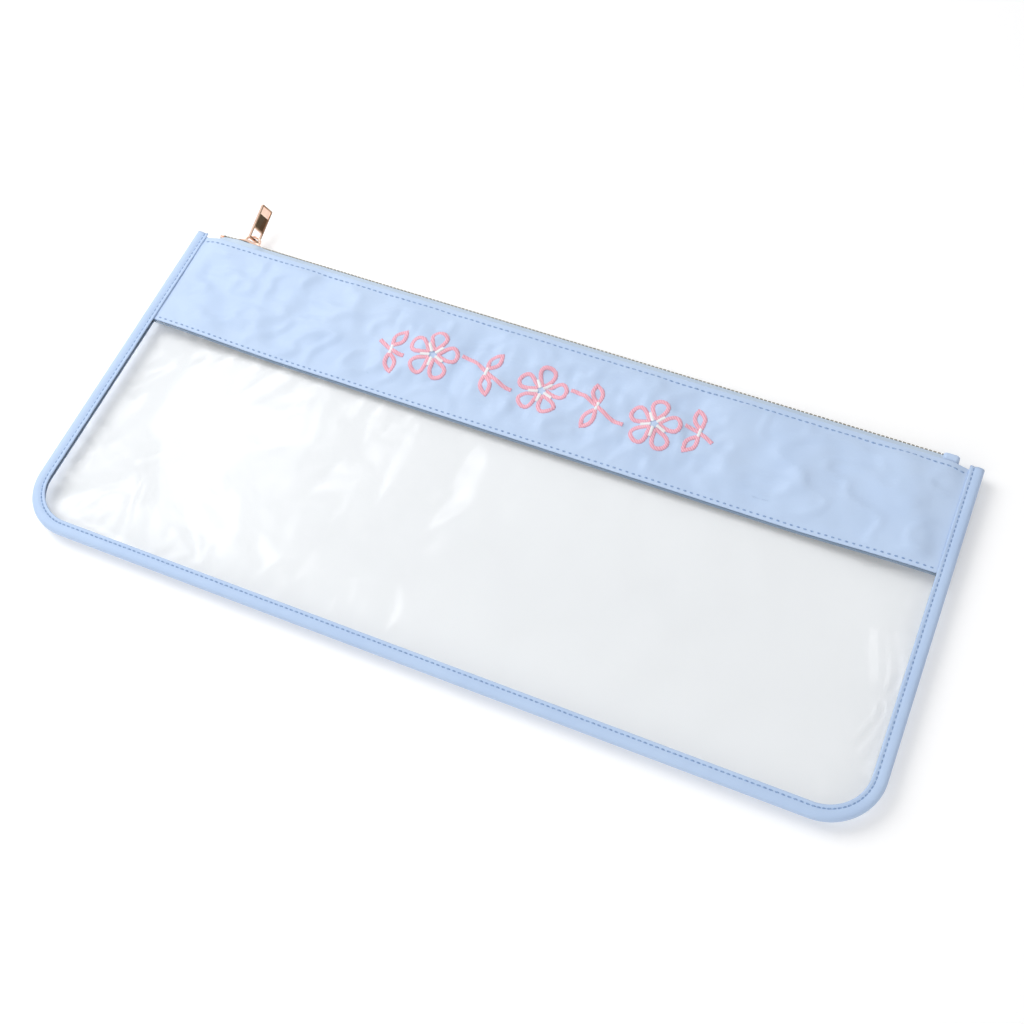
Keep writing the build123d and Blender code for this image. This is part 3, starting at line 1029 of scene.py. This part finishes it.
def makeTape(name, node, side, bandName):
    profile = [(float(step), 0.0) for step in range(5)]
    piece = sweepAlong(name, profile, tape["half"], bag["stitchPitch"] / 2)
    for vertex in piece.data.vertices:
        step = round(vertex.co.y / mm)
        vertex.co = tapeLine(vertex.co.x / mm, side)[step]
    bend = piece.modifiers.new("bend", "SUBSURF")
    bend.levels = bend.render_levels = 1
    size = (2 * tape["half"], tape["flatWidth"])
    finishSheet(
        piece, node, "zip_tape", materials["tape"], tape["thickness"], size, rests_on=[bandName]
    )


makeTape("tape_front", "front_zip_tape", 1, "band_front")
makeTape("tape_back", "back_zip_tape", -1, "band_back")
print("tapes")


# Cloth tab folded over the end of the chain

tab = {
    "left": 195.6,
    "length": 8.1,
    "halfWidth": 4.2,
    "low": -3.2,
    "high": 1.6,
    "unevenness": 0.12,
    "rounding": 0.26,  # as a share of its size
    "wall": 0.6,
}


def makeTab():
    bm = bmesh.new()
    bmesh.ops.create_cube(bm, size=1.0)
    under = [face for face in bm.faces if face.normal.z < -0.5]
    bmesh.ops.delete(bm, geom=under, context="FACES")
    bmesh.ops.bevel(
        bm, geom=[e for e in bm.edges if not e.is_boundary], offset=tab["rounding"], segments=5,
        profile=0.5, affect="EDGES", material=-1,
    )
    bmesh.ops.subdivide_edges(bm, edges=list(bm.edges), cuts=1, use_grid_fill=True)
    for vertex in bm.verts:
        x, y, z = vertex.co
        top = tab["high"] + tab["unevenness"] * noise.noise(Vector((x * 4, y * 3, 5)))
        along, out = tab["left"] + (x + 0.5) * tab["length"], (z + 0.5) * (top - tab["low"])
        vertex.co = chainPoint(along, y * 2 * tab["halfWidth"], tab["low"] + out)
    bmesh.ops.recalc_face_normals(bm, faces=bm.faces)
    piece = meshObject("tab_end", bm)
    shadeSmooth(piece)
    wall = piece.modifiers.new("wall", "SOLIDIFY")
    wall.thickness = tab["wall"] * mm
    finishPiece(piece, "bag", materials["band"], ("end_tab",))


makeTab()
print("tab")


# Sewing thread

thread = {"length": 2.35, "width": 0.95, "height": 0.55, "sink": 0.04}


def threadMesh():
    bm = bmesh.new()
    bmesh.ops.create_uvsphere(bm, u_segments=8, v_segments=6, radius=0.5 * mm)
    bmesh.ops.rotate(bm, matrix=Matrix.Rotation(math.pi / 2, 3, "Y"), verts=bm.verts)
    size = (thread["length"], thread["width"], thread["height"])
    bmesh.ops.scale(bm, vec=size, verts=bm.verts)
    return meshOf("thread", bm)


stitchMesh = threadMesh()


# one piece with a thread for each (point, direction, normal), its length scaled by share
def stitchRow(name, places, share):
    bpy.ops.object.select_all(action="DESELECT")
    for point, direction, normal in places:
        along = direction.normalized()
        across = normal.cross(along).normalized()
        upward = along.cross(across)
        single = addObject(name, stitchMesh)
        turn = Matrix((along * share, across, upward)).transposed().to_4x4()
        single.matrix_world = Matrix.Translation(point - upward * thread["sink"] * mm) @ turn
        single.select_set(True)
    # the row is joined into an empty mesh, so its place is in its mesh
    piece = addObject(name, bpy.data.meshes.new(name))
    piece.select_set(True)
    bpy.context.view_layer.objects.active = piece
    bpy.ops.object.join()
    piece.name = name
    shadeSmooth(piece)
    finishPiece(piece, "bag", materials["thread"])


def bandRow(name, tree, y, side, share=1.0):
    places = []
    reach = half - bag["bindingWidth"]
    count = int(2 * reach / bag["stitchPitch"])
    for number in range(-(count // 2), count // 2):
        x = (number + 0.5) * bag["stitchPitch"]
        point, normal = onSurface(tree, x, y, side)
        if point is None or abs(x) > reach - 1.2:
            continue
        before, after = (onSurface(tree, x + step, y, side)[0] for step in (-1, 1))
        places.append((point, after - before, normal))
    stitchRow(name, places, share)


# point of the bag's outline, moved in by inset, and the direction along it
def outlinePoint(along, inset):
    for length, (x, y), heading in legs:
        if along < length:
            break
        along -= length
    if isinstance(heading, float):
        turn = heading + along / radius
        dx, dy = -math.sin(turn), math.cos(turn)
        return (x + (radius - inset) * dy, y - (radius - inset) * dx), (dx, dy)
    dx, dy = heading
    return (x + dx * along - dy * inset, y + dy * along + dx * inset), heading


def bindingRow(name, tree, side):
    places = []
    length = alongEdge(half, high)
    along = binding["pitch"] * 0.5
    while along < length:
        place, heading = outlinePoint(along, binding["stitch"])
        point, normal = onSurface(tree, *place, side)
        if point is not None:
            places.append((point, Vector((*heading, 0)), normal))
        along += binding["pitch"]
    stitchRow(name, places, binding["pitch"] / bag["stitchPitch"])


frontTree, bindingTree = treeOf(frontBand), treeOf(bindingPiece)
sides = [("front", frontTree, bag["hemY"], 1), ("back", treeOf(backBand), bag["backHemY"], -1)]
for name, tree, hemY, side in sides:
    bandRow("stitches_" + name + "_top", tree, bag["mouthY"] - band["topStitch"], side)
    bandRow("stitches_" + name + "_hem", tree, hemY + band["hemStitch"], side, band["hemThread"])
bindingRow("stitches_binding_front", bindingTree, 1)
bindingRow("stitches_binding_back", bindingTree, -1)
print("stitches")


# Embroidery: a stem with leaves and blossoms in satin strokes, tied with short bars

satin = {
    "half": 90.0,
    "stroke": 1.15,  # half width
    "tie": 0.85,
    "tieLift": 0.28,
    "rise": 0.42,  # satin's height over its half width
    "wave": 5.0,
    "waveLength": 60.0,
    "step": 1.2,
    "blossoms": (-60.0, 0.0, 60.0),
    "petals": 5,
    "petalLength": 10.5,
    "petalWidth": 3.9,
    "heart": 2.4,
    "gap": 1.5,  # from a blossom to the stem
    "petalTie": (1.6, 6.6),  # from and to, out of the heart's middle
    "stemTie": 2.4,
    "leafOff": 2.2,
    "leafLength": 10.5,
    "leafWidth": 2.5,
    "leafLean": 1.15,
}


def stemY(x):
    return satin["wave"] * math.sin(2 * math.pi * x / satin["waveLength"])


def turned(cx, cy, out, side, turn):
    x = out * math.cos(turn) - side * math.sin(turn)
    y = out * math.sin(turn) + side * math.cos(turn)
    return cx + x, cy + y


# outline of a petal that starts and ends at its root
def petalLoop(cx, cy, turn):
    points = []
    for step in range(15):
        t = step / 14
        out = satin["petalLength"] * math.sin(math.pi * t)
        side = -satin["petalWidth"] * math.sin(2 * math.pi * t)
        points.append(turned(cx, cy, out, side, turn))
    return points


# pointed leaf, closed at its root and its tip
def leafOutline(cx, cy, turn):
    points = []
    for step in range(17):
        t = step / 8
        out = satin["leafLength"] * (t if t <= 1 else 2 - t)
        side = satin["leafWidth"] * math.sin(math.pi * out / satin["leafLength"])
        points.append(turned(cx, cy, out, side if t <= 1 else -side, turn))
    return points


def embroideryStrokes():
    strokes, ties = [], []
    reach = satin["heart"] + satin["petalLength"] + satin["gap"]
    ends = [-satin["half"]]
    for cx in satin["blossoms"]:
        ends += [cx - reach, cx + reach]
        for number in range(satin["petals"]):
            turn = math.pi / 2 + 2 * math.pi * number / satin["petals"]
            root = turned(cx, 0, satin["heart"], 0, turn)
            strokes.append(petalLoop(*root, turn))
            between = turn + math.pi / satin["petals"]
            ties.append([turned(cx, 0, out, 0, between) for out in satin["petalTie"]])
    ends.append(satin["half"])
    for start, end in zip(ends[::2], ends[1::2]):
        count = max(int((end - start) / satin["step"]), 4)
        places = [start + (end - start) * step / count for step in range(count + 1)]
        strokes.append([(x, stemY(x)) for x in places])
        x = (start + end) / 2
        for side in (1, -1):
            lean = side * (satin["leafLean"] if x < 0 else math.pi - satin["leafLean"])
            strokes.append(leafOutline(x, stemY(x) + side * satin["leafOff"], lean))
        ties.append([(x, stemY(x) + end * satin["stemTie"]) for end in (-1, 1)])
    return strokes, ties


# satin strokes: round cords laid along the lines and pressed on to the cloth
def satinPiece(name, lines, stroke, tree, material, lift=0.0):
    curve = bpy.data.curves.new(name, "CURVE")
    curve.dimensions = "3D"
    curve.bevel_depth = stroke * mm
    curve.bevel_resolution = 3
    curve.use_fill_caps = True
    middleX, middleY = bag["embroidery"]
    for line in lines:
        spline = curve.splines.new("POLY")
        spline.points.add(len(line) - 1)
        for spot, (x, y) in zip(spline.points, line):
            point, normal = onSurface(tree, middleX + x, middleY + y)
            spot.co = (*point, 1)
    cords = addObject(name, curve)
    mesh = evaluatedMesh(cords)
    bpy.data.objects.remove(cords)
    piece = addObject(name, mesh)
    for vertex in piece.data.vertices:
        point, normal = onSurface(tree, vertex.co.x / mm, vertex.co.y / mm)
        above = vertex.co.z - point.z
        vertex.co.z = point.z + above * satin["rise"] + lift * mm
    shadeSmooth(piece)
    finishPiece(piece, "bag", material)


strokes, ties = embroideryStrokes()
satinPiece("embroidery_pink", strokes, satin["stroke"], frontTree, materials["pink"])
satinPiece("embroidery_white", ties, satin["tie"], frontTree, materials["white"], satin["tieLift"])
print("embroidery", len(strokes), len(ties))


# Metal parts of the zip, with their edges eased and polished

# for each node: piece, body, slot and width of the eased edges
metal = {
    "slider_body": ("slider", "slider", "rose_metal", 0.12),
    "slider_bridge": ("bridge", "slider", "rose_metal", 0.22),
    "zip_pull": ("pull", "pull", "rose_metal", 0.14),
    "front_top_stop": ("stop_front", "bag", "zip_metal", 0.08),
    "back_top_stop": ("stop_back", "bag", "zip_metal", 0.08),
    "bottom_stop": ("stop_bottom", "bag", "zip_metal", 0.08),
}

pull = {
    "along": Vector((-0.065, 0.983, 0.173)).normalized(),
    "across": Vector((0.417, 0.184, -0.890)).normalized(),
    "panelStart": 7.0,  # the sunk panels start this far from the bar
    "tipFacet": 15.0,  # the bright facet starts here
    "seam": 11.2,  # the two dark facets meet on a slanted line through this place
    "aside": 0.6,
    "slant": 0.12,
    "panelHalf": 0.56,  # panel faces lie this far from the middle of the plate, at most
    # dark facets: name, colour, lean as a slope; the lean makes them mirror the dark card, and
    # their darker olive and brown colour is painted reflection
    "facets": [
        ("pullFacetOlivePaintedReflection", (0.62, 0.52, 0.42), 0.30),
        ("pullFacetBrownPaintedReflection", (0.62, 0.42, 0.30), 0.279),
    ],
    # material places on the pull: bright, olive, brown and rim; olive and brown are partly, the rim
    # wholly, painted dark reflection
    "bright": 0,
    "olive": 1,
    "brown": 2,
    "rim": 3,
}


# copy of a rigid part with its flat faces whole again and its edges rounded
def easedCopy(node, cut=None):
    name, body, slotName, width = metal[node]
    bm = bmesh.new()
    bm.from_mesh(nodes[node].data)
    bmesh.ops.remove_doubles(bm, verts=bm.verts, dist=2e-6)
    bmesh.ops.dissolve_limit(
        bm, angle_limit=math.radians(1.5), verts=bm.verts, edges=bm.edges, delimit=set()
    )
    if cut:
        cut(bm)
    piece = meshObject(name, bm)
    ease = piece.modifiers.new("ease", "BEVEL")
    ease.width = width * mm
    ease.segments = 3
    ease.limit_method = "ANGLE"
    ease.angle_limit = math.radians(35)
    ease.harden_normals = True
    shades = [face.material_index for face in piece.data.polygons]
    for face, shade in zip(piece.data.polygons, shades):
        face.use_smooth = shade in (pull["bright"], pull["rim"])
    finishPiece(piece, body, materials["rose"], (node,))
    return piece, shades


def panelFaces(bm, root, normal):
    wanted = []
    for face in bm.faces:
        middle = face.calc_center_median() - root
        flat = abs(face.normal.dot(normal)) > 0.99
        inside = abs(middle.dot(normal)) < pull["panelHalf"] * mm
        if flat and inside and middle.dot(pull["along"]) > pull["panelStart"] * mm:
            wanted.append(face)
    return wanted


# splits the sunk panels into a bright facet at the tip and two dark ones, dark partly by their lean
# and partly by painted reflection
def facetPull(bm):
    root = Vector([j for j in frame["joints"] if j["name"] == "pull_pivot"][0]["pos_m"])
    along, across = pull["along"], pull["across"]
    normal = along.cross(across).normalized()
    slanted = (across - pull["slant"] * along).normalized()
    seam = along * pull["seam"] * mm + across * pull["aside"] * mm
    for spot, direction in [(along * pull["tipFacet"] * mm, along), (seam, slanted)]:
        faces = panelFaces(bm, root, normal)
        geom = list({v for f in faces for v in f.verts}) + list({e for f in faces for e in f.edges})
        bmesh.ops.bisect_plane(
            bm, geom=geom + faces, dist=1e-7, plane_co=root + spot, plane_no=direction
        )
    for face in panelFaces(bm, root, normal):
        middle = face.calc_center_median() - root
        if middle.dot(along) < pull["tipFacet"] * mm:
            face.material_index = pull["brown" if (middle - seam).dot(slanted) > 0 else "olive"]
    for face in bm.faces:
        middle = face.calc_center_median() - root
        flat = abs(face.normal.dot(normal)) > 0.99 and face.material_index == pull["bright"]
        if flat and abs(middle.dot(normal)) >= pull["panelHalf"] * mm:
            face.material_index = pull["rim"]


for node in metal:
    piece, shades = easedCopy(node, facetPull if node == "zip_pull" else None)
    if node == "zip_pull":
        print("pull facets", [shades.count(number) for number in range(3)])
        for name, tone, lean in pull["facets"]:
            piece.data.materials.append(facetMaterial(name, tone, pull["across"], lean))
        # the rim's painted dark reflection
        piece.data.materials.append(materials["paintedDarkRim"])
        piece.data.polygons.foreach_set("material_index", shades)
# front row gets the painted-shade resin, back row the painted-light resin
setMaterial(nodes["front_teeth"], materials["teeth"])
setMaterial(nodes["back_teeth"], materials["backTeethPaintedLight"])
print("zip parts")
